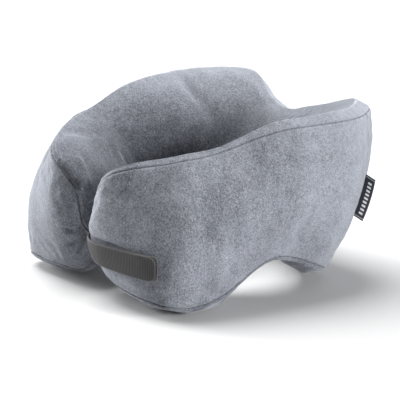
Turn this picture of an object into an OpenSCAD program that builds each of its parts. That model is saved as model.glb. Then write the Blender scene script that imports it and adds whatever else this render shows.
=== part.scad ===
// U shaped travel neck pillow: a moulded foam core in a knitted liner and a zipped velour cover,
// closed in front by a strap with hook and loop.
// Millimetres, +Z up. The origin is on the floor, midway between the sides and midway from the
// strap to the back. The arms' ends face -Y, the nape is at +Y.

/* [Neck opening] */
// Half width of the neck opening
neck_half_w = 59; // [54:1:62]
// Half length of the neck opening
neck_half_l = 72; // [66:1:76]

/* [Cushion] */
// Length over which the end of each arm is rounded
end_round = 30; // [26:1:34]
// Thickness of the velour cover
cover_t = 1.8; // [1.4:0.1:2]
// Thickness of the knitted liner
liner_t = 0.6; // [0.4:0.1:0.8]
// Gap left between one layer and the next
layer_gap = 0.15; // [0.12:0.01:0.18]
// Thickness of the zip's woven tapes, which lie between cover and liner
tape_t = 0.5; // [0.4:0.1:0.6]

/* [Strap] */
// Width of the webbing strap
strap_w = 20; // [16:1:24]
// Thickness of the webbing
strap_t = 1.4; // [1.2:0.1:1.8]
// Height of the strap's middle
strap_z = 44; // [43:0.5:46]
// Thickness of the hook pad, and of the loop patch that it grips
grip_t = 0.8; // [0.6:0.1:1]

/* [Zip] */
// Height of the zip above the floor
zip_z = 46; // [44:1:50]
// Half height of the slot that shows the zip between the two back panels
slot_half = 4.2; // [4.1:0.1:4.6]
// Travel of the slider along the zip
zip_travel = 95; // [80:1:95]

/* [Label] */
// Length of the folded label, along the corner seam
label_l = 38; // [32:1:42]
// How far the label stands out of the seam
label_out = 10; // [8:1:13]
// Thickness of the folded label
label_t = 0.9; // [0.7:0.1:1.2]

/* [Hidden] */

$fn = 48;

// Rings round the cushion, from the right arm's end to the middle of the nape. Each ring is a
// section that stands upright and looks from the outer face at [x, y] towards the point of the
// neck opening at an angle of heading, counted round from the front.
//  x, y, heading, top_in, base_in, seam_z, crest, crest_in, base_z, sag
// top_in and base_in say how far the top and bottom seams stand in from the outer face, seam_z and
// base_z are their heights, and the crest rises by crest above the top seam, crest_in inside it.
// The base hangs by sag below the bottom seam.
RINGS = [
    [2, -127, 4, 10, 14, 80, 2, 4, 32, 6],
    [45, -128, 27, 5, 10, 114, 3, 8, 18, 12],
    [100, -108, 52, 28, 0, 127, 3, 9, 9, 10],
    [117, -73, 72, 29, 15, 133, 3, 7, 8, 10],
    [125, -3, 93, 15, 22, 147, 5, 10, 34, 5],
    [123, 74, 122, 6, 28, 150, 5, 14, 12, 3],
    [78, 121, 148, -8, 38, 150, 6, 18, 1, 4],
    [38, 124, 165, -2, 24, 134, 8, 22, 4, 4],
    [0, 124, 180, 0, 20, 127, 9, 23, 8, 4]];
NECK_Y = 7;                 // middle of the neck opening
NAPE = 8;                   // the ring at the middle of the nape
CORNER = 5.5;               // the ring at the rear corner's seam, where an arm flexes
FLEX_GAP = 0.006;           // half of the gap at the corner seam, in rings

LINER_D = cover_t + tape_t + 3*layer_gap;      // depth of the liner's outer face
FOAM_D = LINER_D + liner_t + layer_gap;        // depth of the foam's face
FIRST_LEN = norm([RINGS[1][0] - RINGS[0][0], RINGS[1][1] - RINGS[0][1]]);

// Fractions of the rounded end at which it has a row of points
END_STEPS = [0.003, 0.03, 0.1, 0.22, 0.4, 0.65];
ARM_STEPS = 17;             // rows from the rounded end to the corner
NAPE_STEPS = 20;            // rows across the nape
OUT_STEPS = 5;              // points up the outer wall
IN_STEPS = 16;              // points over the crest, down the inner wall and under the base
BASE_STEP = 11;             // the one of them, low on the inner wall, where the base panel starts
EDGE = 0.002;               // how far a panel's edge stays off its seam, as a share of the panel

// ---------------------------------------------------------------- the cushion's surface

function mirrored(r) = [-r[0], r[1], 360 - r[2], r[3], r[4], r[5], r[6], r[7], r[8], r[9]];
function row(i) = i < 0 ? 2*RINGS[0] - RINGS[1] : i <= NAPE ? RINGS[i] : mirrored(RINGS[2*NAPE - i]);
function spline(a, b, c, d, f) =
    0.5*(2*b + (c - a)*f + (2*a - 5*b + 4*c - d)*f*f + (3*b - a - 3*c + d)*f*f*f);
function ring(u) = let (i = floor(u)) spline(row(i - 1), row(i), row(i + 1), row(i + 2), u - i);

function neck_point(r) = [neck_half_w*sin(r[2]), NECK_Y - neck_half_l*cos(r[2])];
function inward(r) = neck_point(r) - [r[0], r[1]];

// Points of a section as [distance in from the outer face, height], for the surface at depth d
function outer_wall(r, d, q) = let (low = r[8] + d, high = r[5] - d) [
    d + r[4]*2*(q - 0.5)*(q - 1) + r[3]*2*q*(q - 0.5),
    low + (high - low)*q];

// The same over the crest, down the inner wall and under the base: the points of the cover's face,
// and the way in which each of them moves for a layer further in
INNER_WAYS = [[1, -1], [0.6, -1], [0.3, -1], [-0.6, -0.8], [-1, 0], [-1, 0.2], [-0.6, 0.9], [0, 1], [1, 1]];
function inner_controls(r, d) =
    let (wall = norm(inward(r)), crest_in = r[3] + r[7], top = r[5] + r[6], h = top - r[8])
    d*INNER_WAYS + [
    [r[3], r[5]],
    [r[3] + r[7]/2, top - 0.15*r[6]],
    [crest_in, top],
    [crest_in + 0.62*(wall - crest_in), top - 0.16*h],
    [wall, top - 0.45*h],
    [wall - 2, r[8] + 0.25*h],
    [0.78*wall, r[8] + 0.02*h],
    [r[4] + 0.4*(wall - r[4]), r[8] - r[9]],
    [r[4], r[8]]];

function inner_wall(r, d, q) =
    let (c = inner_controls(r, d), last = len(c) - 1, v = q*last, i = min(floor(v), last - 1),
        before = i == 0 ? 2*c[0] - c[1] : c[i - 1],
        after = i == last - 1 ? 2*c[last] - c[last - 1] : c[i + 2])
    spline(before, c[i], c[i + 1], after, v - i);

// The rounded end: how far the section has grown after a fraction e of the rounding
function end_width(e) = e >= 1 ? 1 : sqrt(max(0, 1 - pow(1 - e, 2.2)));
function end_height(e) = e >= 1 ? 1 : sqrt(max(0, 1 - pow(1 - e, 2.8)));

// A point of the surface at depth d. t runs 0 to 1 up the outer wall, and 1 to 2 over the crest,
// down the inner wall and back under the base. The lobes that would reach below the floor lie flat.
function skin_at(u, t, d) =
    let (r = ring(u), way = inward(r), wall = norm(way),
        s = t <= 1 ? outer_wall(r, d, t) : inner_wall(r, d, t - 1),
        e = (u*FIRST_LEN - d)/(end_round - d),
        mid = [0.3*wall, (r[5] + r[8])/2],
        w = mid[0] + (s[0] - mid[0])*end_width(e),
        z = mid[1] + (s[1] - mid[1])*end_height(e))
    [r[0] + way[0]/wall*w, r[1] + way[1]/wall*w, max(z, d)];

// A point of the outer wall at depth d and height z
function wall_at(u, z, d) =
    let (r = ring(u)) skin_at(u, (z - r[8] - d)/(r[5] - r[8] - 2*d), d);

// Rows along an arm for the surface at depth d, and across the nape
function end_u(e, d) = (d + e*(end_round - d))/FIRST_LEN;
function arm_rows(d) =
    let (from = end_round/FIRST_LEN, to = CORNER - FLEX_GAP)
    concat([for (e = END_STEPS) end_u(e, d)], [for (k = [0:ARM_STEPS]) from + (to - from)*k/ARM_STEPS]);
NAPE_ROWS = [for (k = [0:NAPE_STEPS])
    CORNER + FLEX_GAP + (2*(NAPE - CORNER) - 2*FLEX_GAP)*k/NAPE_STEPS];

// Steps across a panel whose seams are at a and b
function panel_steps(a, b, n) = [for (k = [0:n]) a + EDGE + (b - a - 2*EDGE)*k/n];
BASE_SEAM = 1 + BASE_STEP/IN_STEPS;
OUTER_T = panel_steps(0, 1, OUT_STEPS);
INNER_T = panel_steps(1, BASE_SEAM, BASE_STEP);
BASE_T = panel_steps(BASE_SEAM, 2, IN_STEPS - BASE_STEP);
LOOP_T = concat([for (k = [0:OUT_STEPS - 1]) k/OUT_STEPS], [for (k = [0:IN_STEPS - 1]) 1 + k/IN_STEPS]);

function grid(rows, ts, d) = [for (u = rows) [for (t = ts) skin_at(u, t, d)]];

// ---------------------------------------------------------------- solids made from grids of points

function halves(quads) = [for (q = quads) each [[q[0], q[1], q[2]], [q[0], q[2], q[3]]]];

// A slab between two open grids of points
module slab(outside, inside) {
    n = len(outside);
    m = len(outside[0]);
    function id(s, i, j) = (s*n + i)*m + j;
    quads = concat(
        [for (i = [0:n - 2], j = [0:m - 2])
            [id(0, i, j), id(0, i, j + 1), id(0, i + 1, j + 1), id(0, i + 1, j)]],
        [for (i = [0:n - 2], j = [0:m - 2])
            [id(1, i, j), id(1, i + 1, j), id(1, i + 1, j + 1), id(1, i, j + 1)]],
        [for (i = [0:n - 2]) [id(0, i, 0), id(0, i + 1, 0), id(1, i + 1, 0), id(1, i, 0)]],
        [for (i = [0:n - 2]) [id(0, i + 1, m - 1), id(0, i, m - 1), id(1, i, m - 1), id(1, i + 1, m - 1)]],
        [for (j = [0:m - 2]) [id(0, 0, j + 1), id(0, 0, j), id(1, 0, j), id(1, 0, j + 1)]],
        [for (j = [0:m - 2]) [id(0, n - 1, j), id(0, n - 1, j + 1), id(1, n - 1, j + 1), id(1, n - 1, j)]]);
    polyhedron(points = [for (g = [outside, inside]) for (line = g) each line],
        faces = halves(quads), convexity = 8);
}

// A solid bar whose section is a closed line of points, with a flat face at each end
module bar(rings) {
    n = len(rings);
    m = len(rings[0]);
    function id(i, j) = i*m + j % m;
    sides = [for (i = [0:n - 2], j = [0:m - 1]) [id(i, j), id(i, j + 1), id(i + 1, j + 1), id(i + 1, j)]];
    polyhedron(points = [for (line = rings) each line],
        faces = concat(halves(sides),
            [[for (j = [m - 1:-1:0]) id(0, j)], [for (j = [0:m - 1]) id(n - 1, j)]]),
        convexity = 8);
}

// A sleeve between two such bars. closed_end: its first end is a flat wall, not a rim.
module sleeve(outside, inside, closed_end) {
    n = len(outside);
    m = len(outside[0]);
    function id(s, i, j) = (s*n + i)*m + j % m;
    quads = concat(
        [for (i = [0:n - 2], j = [0:m - 1])
            [id(0, i, j), id(0, i, j + 1), id(0, i + 1, j + 1), id(0, i + 1, j)]],
        [for (i = [0:n - 2], j = [0:m - 1])
            [id(1, i, j), id(1, i + 1, j), id(1, i + 1, j + 1), id(1, i, j + 1)]],
        [for (j = [0:m - 1]) [id(0, n - 1, j), id(0, n - 1, j + 1), id(1, n - 1, j + 1), id(1, n - 1, j)]],
        closed_end ? [] : [for (j = [0:m - 1]) [id(0, 0, j + 1), id(0, 0, j), id(1, 0, j), id(1, 0, j + 1)]]);
    ends = closed_end ? [[for (j = [m - 1:-1:0]) id(0, 0, j)], [for (j = [0:m - 1]) id(1, 0, j)]] : [];
    polyhedron(points = [for (g = [outside, inside]) for (line = g) each line],
        faces = concat(halves(quads), ends), convexity = 8);
}

module left_side() mirror([1, 0, 0]) children();

// ---------------------------------------------------------------- foam and liner

module foam_arm() bar(grid(arm_rows(FOAM_D), LOOP_T, FOAM_D));
module foam_arm_right() color("ivory") foam_arm();
module foam_arm_left() color("ivory") left_side() foam_arm();
module foam_nape() color("ivory") bar(grid(NAPE_ROWS, LOOP_T, FOAM_D));

module liner_arm() {
    inner_d = LINER_D + liner_t;
    sleeve(grid(arm_rows(LINER_D), LOOP_T, LINER_D), grid(arm_rows(inner_d), LOOP_T, inner_d), true);
}
module liner_arm_right() color("white") liner_arm();
module liner_arm_left() color("white") left_side() liner_arm();
module liner_nape() color("white")
    sleeve(grid(NAPE_ROWS, LOOP_T, LINER_D), grid(NAPE_ROWS, LOOP_T, LINER_D + liner_t), false);

// ---------------------------------------------------------------- velour cover

COVER_COLOR = [0.56, 0.57, 0.6];

module arm_panel(ts) slab(grid(arm_rows(0), ts, 0), grid(arm_rows(cover_t), ts, cover_t));
module cover_side_right() color(COVER_COLOR) arm_panel(OUTER_T);
module cover_side_left() color(COVER_COLOR) left_side() arm_panel(OUTER_T);
module cover_inner_right() color(COVER_COLOR) arm_panel(INNER_T);
module cover_inner_left() color(COVER_COLOR) left_side() arm_panel(INNER_T);
module cover_base_right() color(COVER_COLOR) arm_panel(BASE_T);
module cover_base_left() color(COVER_COLOR) left_side() arm_panel(BASE_T);
module nape_panel(ts) slab(grid(NAPE_ROWS, ts, 0), grid(NAPE_ROWS, ts, cover_t));
module cover_inner_nape() color(COVER_COLOR) nape_panel(INNER_T);
module cover_base_nape() color(COVER_COLOR) nape_panel(BASE_T);

// The back is two panels, with the zip in the slot between them. Past the zip's ends the panels meet.
TAPE_HALF = 10;             // from the zip's middle to the edge of a tape
ZIP_FIRST = 4;              // the rows across the nape at which the zip starts and ends
ZIP_LAST = NAPE_STEPS - ZIP_FIRST;
BACK_STEPS = 4;
function slot_at(k) = k >= ZIP_FIRST && k <= ZIP_LAST ? slot_half : 0.06;
function back_heights(r, k, upper) =
    let (side = upper ? 1 : -1, rise = r[5] - r[8], edge = upper ? r[5] - EDGE*rise : r[8] + EDGE*rise,
        tape = zip_z + side*TAPE_HALF)
    concat([zip_z + side*slot_at(k)], [for (n = [0:BACK_STEPS]) tape + (edge - tape)*n/BACK_STEPS]);
function back_grid(d, upper) = [for (k = [0:NAPE_STEPS])
    let (u = NAPE_ROWS[k], r = ring(u), heights = back_heights(r, k, upper), last = BACK_STEPS + 1)
    [for (n = [0:last]) let (z = heights[upper ? n : last - n])
        wall_at(u, n == (upper ? last : 0) ? z + (upper ? -d : d) : z, d)]];
module back_panel(upper) slab(back_grid(0, upper), back_grid(cover_t, upper));
module cover_back_upper() color(COVER_COLOR) back_panel(true);
module cover_back_lower() color(COVER_COLOR) back_panel(false);

// ---------------------------------------------------------------- zip

ZIP_ROWS = [for (k = [ZIP_FIRST:ZIP_LAST]) NAPE_ROWS[k]];
COIL_HALF = 2.6;            // from the zip's middle to the outer edge of a coil
COIL_TOP = 0.5;             // depth of the coil's face below the cover's face
TAPE_TOP = cover_t + layer_gap;
ZIP_CLEAR = 0.03;           // half of the gap between the two sides of the zip

// A strip of the zip between heights a and b and depths top and bottom, along rows
module zip_strip(rows, a, b, top, bottom)
    slab([for (u = rows) [wall_at(u, zip_z + a, top), wall_at(u, zip_z + b, top)]],
        [for (u = rows) [wall_at(u, zip_z + a, bottom), wall_at(u, zip_z + b, bottom)]]);

TAPE_COLOR = [0.42, 0.43, 0.45];
module zip_tape_upper() color(TAPE_COLOR)
    zip_strip(ZIP_ROWS, ZIP_CLEAR, TAPE_HALF, TAPE_TOP, TAPE_TOP + tape_t);
module zip_tape_lower() color(TAPE_COLOR)
    zip_strip(ZIP_ROWS, -TAPE_HALF, -ZIP_CLEAR, TAPE_TOP, TAPE_TOP + tape_t);

STOP_ROWS = 0.06;           // how long a stop is, in rings
STOP_IN = 0.05;             // how far a stop stands in from the zip's end, in rings
COIL_BOTTOM = TAPE_TOP - 0.12;
COIL_IN = STOP_IN + STOP_ROWS + 0.01;
COIL_ROWS = concat([ZIP_ROWS[0] + COIL_IN],
    [for (k = [ZIP_FIRST + 1:ZIP_LAST - 1]) NAPE_ROWS[k]], [2*NAPE - ZIP_ROWS[0] - COIL_IN]);
module zip_coil_upper() color(TAPE_COLOR)
    zip_strip(COIL_ROWS, ZIP_CLEAR, COIL_HALF, COIL_TOP, COIL_BOTTOM);
module zip_coil_lower() color(TAPE_COLOR)
    zip_strip(COIL_ROWS, -COIL_HALF, -ZIP_CLEAR, COIL_TOP, COIL_BOTTOM);
module zip_stops() color("silver")
    for (from = [ZIP_ROWS[0] + STOP_IN, 2*NAPE - ZIP_ROWS[0] - STOP_IN - STOP_ROWS])
        zip_strip([from, from + STOP_ROWS], -COIL_HALF, COIL_HALF, COIL_TOP - 0.3, COIL_BOTTOM);

// The slider's own frame: x back along the zip, y up the panel, z out of it, at its rest place
BACK_AT = wall_at(NAPE, zip_z, 0);
BACK_UP = wall_at(NAPE, zip_z + 2, 0) - wall_at(NAPE, zip_z - 2, 0);
BACK_LEAN = atan2(BACK_UP[1], BACK_UP[2]);     // how far the panel leans back going up
SLIDER_X = zip_travel/2;
SLIDER_OFF = 0.3;           // how far the slider's frame stands off the cover at the nape's middle
SLIDER_LOW = 0.2;           // how far it hangs below the zip's middle, as the coils dip to the ends
module on_zip() translate([SLIDER_X, BACK_AT[1] + SLIDER_OFF, zip_z])
    rotate([90 + BACK_LEAN, 0, 180]) translate([0, -SLIDER_LOW, 0]) children();

SLIDER_L = 11;
SLIDER_W = 7.4;
PLATE_T = 1.1;
PLATE_AT = 0.3;             // height of the plate's underside over the cover's face
FLANGE_T = 0.7;
FLANGE_DEEP = 1.3;
PIN_UP = 3.2;               // height of the pull's pin
PIN_R = 0.6;
LUG_R = 1.2;
LUG_T = 0.8;
LUG_OUT = 2.5;              // outer face of a lug, from the slider's middle
module zip_slider() color("silver") on_zip() {
    translate([0, 0, PLATE_AT]) linear_extrude(PLATE_T) polygon([
        for (a = [0:15:345]) [SLIDER_L/2*cos(a)*(1 - 0.12*pow(sin(2*a), 2)), SLIDER_W/2*sin(a)]]);
    for (side = [-1, 1]) {
        translate([-2.6, side*(SLIDER_W/2 - FLANGE_T/2) - FLANGE_T/2, -FLANGE_DEEP])
            cube([5.2, FLANGE_T, FLANGE_DEEP + PLATE_AT + PLATE_T/2]);
        translate([0, side*(LUG_OUT - LUG_T/2), 0]) rotate([90, 0, 0]) {
            translate([0, PIN_UP, 0]) cylinder(r = LUG_R, h = LUG_T, center = true);
            translate([-LUG_R, PLATE_AT + PLATE_T/2, -LUG_T/2])
                cube([2*LUG_R, PIN_UP - PLATE_AT - PLATE_T/2, LUG_T]);
        }
    }
    translate([0, 0, PIN_UP]) rotate([90, 0, 0]) cylinder(r = PIN_R, h = 2*LUG_OUT - LUG_T, center = true);
}

PULL_L = 22;
PULL_W = 7;
PULL_T = 1.2;
EYE_R = 1.3;
EYE_W = 3;
PIN_CLEAR = 0.06;
module zip_pull() color("silver") on_zip() translate([0, 0, PIN_UP]) difference() {
    union() {
        rotate([90, 0, 0]) cylinder(r = EYE_R, h = EYE_W, center = true);
        translate([0, -EYE_W/2, -PULL_T/2]) cube([6.5, EYE_W, PULL_T]);
        translate([0, 0, -PULL_T/2]) linear_extrude(PULL_T) difference() {
            union() {
                translate([9, 0]) circle(PULL_W/2);
                translate([PULL_L - PULL_W/2, 0]) circle(PULL_W/2);
                translate([9, -PULL_W/2]) square([PULL_L - PULL_W/2 - 9, PULL_W]);
            }
            translate([PULL_L - PULL_W/2, 0]) circle(1.6);
        }
    }
    rotate([90, 0, 0]) cylinder(r = PIN_R + PIN_CLEAR, h = EYE_W + 1, center = true);
}

// ---------------------------------------------------------------- strap

STRAP_COLOR = [0.3, 0.3, 0.29];
STRAP_GAP = 0.3;            // between the hook pad and the loop patch
PATCH_D = -grip_t - 0.06;                       // the loop patch's outer face
PAD_D = PATCH_D - STRAP_GAP;                    // the hook pad's inner face
WEB_D = PAD_D - grip_t - 0.06;                  // the webbing's inner face
STRAP_TIP = 1.86;           // the ring at the strap's free end
STRAP_ROOT = 0.1;           // fraction of the rounded end at which the webbing starts
HINGE_AT = [0.2, -114.5];   // the line at which the strap swings

// A point beside the outer wall at depth d and height z. It rounds the arm's end in plan only.
function beside(u, z, d) =
    let (r = ring(u), way = inward(r), wall = norm(way), low = r[8] + d, high = r[5] - d,
        s = outer_wall(r, d, max(0, (z - low)/(high - low))),
        w = 0.3*wall + (s[0] - 0.3*wall)*end_width((u*FIRST_LEN - d)/(end_round - d)))
    [r[0] + way[0]/wall*w, r[1] + way[1]/wall*w, z];
function strap_rows(d) = concat(
    [for (e = [STRAP_ROOT, 0.2, 0.35, 0.55, 0.8]) end_u(e, d)],
    [for (k = [0:12]) let (from = end_round/FIRST_LEN) from + (STRAP_TIP - from)*sin(90*k/12)]);
// Half width of the strap at ring u: it ends in a rounded corner
function strap_half(u) = let (x = (STRAP_TIP - u)*FIRST_LEN, r = 0.3*strap_w)
    x >= r ? strap_w/2 : strap_w/2 - r + sqrt(max(0, r*r - (r - x)*(r - x)));

// A strip of the strap's outline or of a patch in it, from depth a out to depth b
function strap_grid(rows, d, shrink) = [for (u = rows)
    [for (k = [-2:2]) beside(u, strap_z + k/2*(strap_half(u) - shrink), d)]];
module strap_strip(a, b, rows_a, rows_b, shrink)
    slab(strap_grid(rows_b, b, shrink), strap_grid(rows_a, a, shrink));
module strap_webbing() color(STRAP_COLOR)
    strap_strip(WEB_D, WEB_D - strap_t, strap_rows(WEB_D), strap_rows(WEB_D - strap_t), 0);

PAD_ROWS = [for (k = [0:6]) 1.05 + (STRAP_TIP - 0.06 - 1.05)*k/6];
module strap_hook_pad() color(STRAP_COLOR) strap_strip(PAD_D, PAD_D - grip_t, PAD_ROWS, PAD_ROWS, 1);

PATCH_ROWS = [for (k = [0:8]) 0.98 + (STRAP_TIP + 0.12 - 0.98)*k/8];
function patch_grid(d) = [for (u = PATCH_ROWS)
    [for (k = [-2:2]) beside(u, strap_z + k/2*(strap_w/2 + 1), d)]];
module strap_loop_patch() color(STRAP_COLOR) slab(patch_grid(PATCH_D), patch_grid(-0.06));

// The sewn root of the strap: a tab in the gap between the arms' ends
ANCHOR_BACK = -99;
ANCHOR_X = [-1.5, -0.1];
ANCHOR_OFF = 1.6;           // how far the tab ends behind the hinge line
module strap_anchor() color(STRAP_COLOR)
    translate([ANCHOR_X[0], HINGE_AT[1] + ANCHOR_OFF, strap_z - strap_w/2])
        cube([ANCHOR_X[1] - ANCHOR_X[0], ANCHOR_BACK - HINGE_AT[1] - ANCHOR_OFF, strap_w]);

// ---------------------------------------------------------------- label in the right corner's seam

LABEL_LOW = 58;             // height of the label's lower end, at the seam
LABEL_DROOP = 5;            // how much lower the label's free edge hangs
LABEL_U = CORNER + 0.03;
LABEL_ROOT = 0.25;          // how far the label's inner edge stands off the cover
LABEL_STEPS = 4;
// A point of the label at height z, out from the seam, and across its thickness
function label_at(z, out, across) =
    let (way = inward(ring(LABEL_U)), w = way/norm(way), p = wall_at(LABEL_U, z, 0))
    [p[0] - w[0]*out + w[1]*across, p[1] - w[1]*out - w[0]*across, z - LABEL_DROOP*out/label_out];
function label_grid(across) = [for (k = [0:LABEL_STEPS]) let (z = LABEL_LOW + label_l*k/LABEL_STEPS)
    [label_at(z, LABEL_ROOT, across), label_at(z, label_out, across)]];
module brand_label() color([0.12, 0.13, 0.2]) slab(label_grid(label_t/2), label_grid(-label_t/2));

foam_arm_right();
foam_arm_left();
foam_nape();
liner_arm_right();
liner_arm_left();
liner_nape();
cover_side_right();
cover_side_left();
cover_inner_right();
cover_inner_left();
cover_inner_nape();
cover_base_right();
cover_base_left();
cover_base_nape();
cover_back_upper();
cover_back_lower();
zip_tape_upper();
zip_tape_lower();
zip_coil_upper();
zip_coil_lower();
zip_stops();
zip_slider();
zip_pull();
strap_anchor();
strap_webbing();
strap_hook_pad();
strap_loop_patch();
brand_label();
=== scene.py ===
"""The looks of a U shaped travel neck pillow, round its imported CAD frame.

The cushion's surface is worked out in millimetres from the same rings as the part's own source, and
the points of its meshes are in metres in the row frame. A place on the surface is (u, t): u counts
the rings from the right arm's end, over the nape at 8, to the left arm's end at 16, and t runs 0 to 1
up the outer wall and 1 to 2 over the crest, down the inner wall and back under the base.
"""

import math

import bpy
import bmesh
import numpy as np
from mathutils import Matrix, Vector
from mathutils.kdtree import KDTree


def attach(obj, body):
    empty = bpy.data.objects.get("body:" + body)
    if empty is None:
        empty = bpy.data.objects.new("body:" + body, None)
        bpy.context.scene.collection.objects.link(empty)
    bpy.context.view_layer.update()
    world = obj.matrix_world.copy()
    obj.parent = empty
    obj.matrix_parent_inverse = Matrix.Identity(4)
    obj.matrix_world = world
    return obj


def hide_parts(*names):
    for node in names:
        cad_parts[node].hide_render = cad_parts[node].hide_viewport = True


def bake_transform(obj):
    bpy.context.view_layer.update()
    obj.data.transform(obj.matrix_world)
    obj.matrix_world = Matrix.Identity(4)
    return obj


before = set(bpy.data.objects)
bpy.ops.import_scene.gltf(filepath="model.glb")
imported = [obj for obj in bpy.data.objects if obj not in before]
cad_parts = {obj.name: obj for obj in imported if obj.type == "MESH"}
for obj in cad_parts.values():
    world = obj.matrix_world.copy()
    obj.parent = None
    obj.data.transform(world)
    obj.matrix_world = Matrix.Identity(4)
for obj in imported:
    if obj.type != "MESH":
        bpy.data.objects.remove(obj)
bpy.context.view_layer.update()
MM = 0.001

# ------------------------ the cushion's design, in millimetres

# Rings round the cushion from the right arm's end to the middle of the nape. Each stands upright and
# looks from the outer face at [x, y] towards the neck opening, at an angle of heading.
#  x, y, heading, top_in, base_in, seam_z, crest, crest_in, base_z, sag
RINGS = np.array([
    [2, -127, 4, 10, 14, 80, 2, 4, 32, 6],
    [45, -128, 27, 5, 10, 114, 3, 8, 18, 12],
    [100, -108, 52, 28, 0, 127, 3, 9, 9, 10],
    [117, -73, 72, 29, 15, 133, 3, 7, 8, 10],
    [125, -3, 93, 15, 22, 147, 5, 10, 34, 5],
    [123, 74, 122, 6, 28, 150, 5, 14, 12, 3],
    [78, 121, 148, -8, 38, 150, 6, 18, 1, 4],
    [38, 124, 165, -2, 24, 134, 8, 22, 4, 4],
    [0, 124, 180, 0, 20, 127, 9, 23, 8, 4]], float)
NECK_HALF_W, NECK_HALF_L, NECK_Y = 59, 72, 7
END_ROUND = 30  # length over which an arm's end is rounded
END_IN, END_PLAN, END_RISE = 0.3, 2.2, 2.8  # the share of the way in that it closes on, and its roundness
NAPE, LAST = 8, 16  # the rings at the nape's middle and at the left arm's end
CORNER, LEFT_CORNER = 5.5, 10.5
BASE_SEAM = 1 + 11 / 16  # where the inner panel ends and the base panel starts
COVER_T, LINER_T, TAPE_T, LAYER_GAP = 1.8, 0.6, 0.5, 0.15
LINER_D = COVER_T + TAPE_T + 3 * LAYER_GAP
FOAM_D = LINER_D + LINER_T + LAYER_GAP
FIRST_LEN = np.linalg.norm(RINGS[1, :2] - RINGS[0, :2])
STRAP_W, STRAP_T, STRAP_Z, GRIP_T = 20, 1.4, 44, 0.8
STRAP_TIP = 1.86  # the ring place where the strap ends
ZIP_Z, SLOT_HALF, ZIP_FIRST_U = 46, 4.2, 6.5


def mirrored(rows):
    """The same rings on the left side."""
    out = rows.copy()
    out[:, 0] *= -1
    out[:, 2] = 360 - out[:, 2]
    return out


BEFORE = (2 * RINGS[0] - RINGS[1])[None]
WHOLE = np.vstack([BEFORE, RINGS, mirrored(RINGS[-2::-1]), mirrored(BEFORE)])


def spline(a, b, c, d, f):
    """Catmull-Rom from b to c."""
    return 0.5 * (2 * b + (c - a) * f + (2 * a - 5 * b + 4 * c - d) * f**2 + (3 * b - a - 3 * c + d) * f**3)


def ring(u):
    """The ten values of the ring at each u."""
    i = np.clip(np.floor(u).astype(int), 0, LAST - 1)
    return spline(WHOLE[i], WHOLE[i + 1], WHOLE[i + 2], WHOLE[i + 3], (u - i)[..., None])


def inward(r):
    """From the outer face to the neck opening, and how far that is."""
    a = np.radians(r[..., 2])
    way = np.stack([NECK_HALF_W * np.sin(a), NECK_Y - NECK_HALF_L * np.cos(a)], -1) - r[..., :2]
    return way, np.linalg.norm(way, axis=-1)


# The way in which each point of inner_wall's outline moves for a layer further in
INNER_WAYS = [[1, -1], [0.6, -1], [0.3, -1], [-0.6, -0.8], [-1, 0], [-1, 0.2], [-0.6, 0.9], [0, 1], [1, 1]]


def outer_wall(r, q, d):
    """(distance in, height) up the outer wall, at depth d."""
    low, high = r[..., 8] + d, r[..., 5] - d
    inset = d + r[..., 4] * 2 * (q - 0.5) * (q - 1) + r[..., 3] * 2 * q * (q - 0.5)
    return np.stack([inset, low + (high - low) * q], -1)


def inner_wall(r, q, d, wall):
    """(distance in, height) over the crest, down the inner wall and under the base, at depth d."""
    top_in, base_in, base_z, sag = r[..., 3], r[..., 4], r[..., 8], r[..., 9]
    crest_in, top = top_in + r[..., 7], r[..., 5] + r[..., 6]
    h = top - base_z
    ins = [top_in, top_in + r[..., 7] / 2, crest_in, crest_in + 0.62 * (wall - crest_in), wall, wall - 2,
           0.78 * wall, base_in + 0.4 * (wall - base_in), base_in]
    heights = [r[..., 5], top - 0.15 * r[..., 6], top, top - 0.16 * h, top - 0.45 * h, base_z + 0.25 * h,
               base_z + 0.02 * h, base_z - sag, base_z]
    c = np.stack([np.stack([a + d * w[0], b + d * w[1]], -1) for a, b, w in zip(ins, heights, INNER_WAYS)])
    c = np.concatenate([2 * c[:1] - c[1:2], c, 2 * c[-1:] - c[-2:-1]])
    v = q * (len(INNER_WAYS) - 1)
    i = np.minimum(np.floor(v).astype(int), len(INNER_WAYS) - 2)
    near = [np.take_along_axis(c, (i + k)[None, ..., None], 0)[0] for k in range(4)]
    return spline(*near, (v - i)[..., None])


def end_fraction(u, d):
    """How far into the rounding of its arm's end a place is: 1 and over is past it."""
    return np.clip((np.minimum(u, LAST - u) * FIRST_LEN - d) / (END_ROUND - d), 0, 1)


def skin(u, t, d=0.0):
    """Points of the surface at depth d, in metres."""
    u, t = np.broadcast_arrays(np.clip(np.asarray(u, float), 0, LAST), np.asarray(t, float) % 2)
    r = ring(u)
    way, wall = inward(r)
    s = np.where((t <= 1)[..., None], outer_wall(r, np.clip(t, 0, 1), d),
                 inner_wall(r, np.clip(t - 1, 0, 1), d, wall))
    e = end_fraction(u, d)
    mid_in, mid_z = END_IN * wall, (r[..., 5] + r[..., 8]) / 2
    w = mid_in + (s[..., 0] - mid_in) * np.sqrt(1 - (1 - e)**END_PLAN)
    z = mid_z + (s[..., 1] - mid_z) * np.sqrt(1 - (1 - e)**END_RISE)
    return np.stack([r[..., 0] + way[..., 0] / wall * w, r[..., 1] + way[..., 1] / wall * w,
                     np.maximum(z, d)], -1) * MM


STEP = 0.004  # the step in u or t over which slopes are measured
AT_END = 0.01  # the stretch at an arm's end that has the normal of its very end


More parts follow.
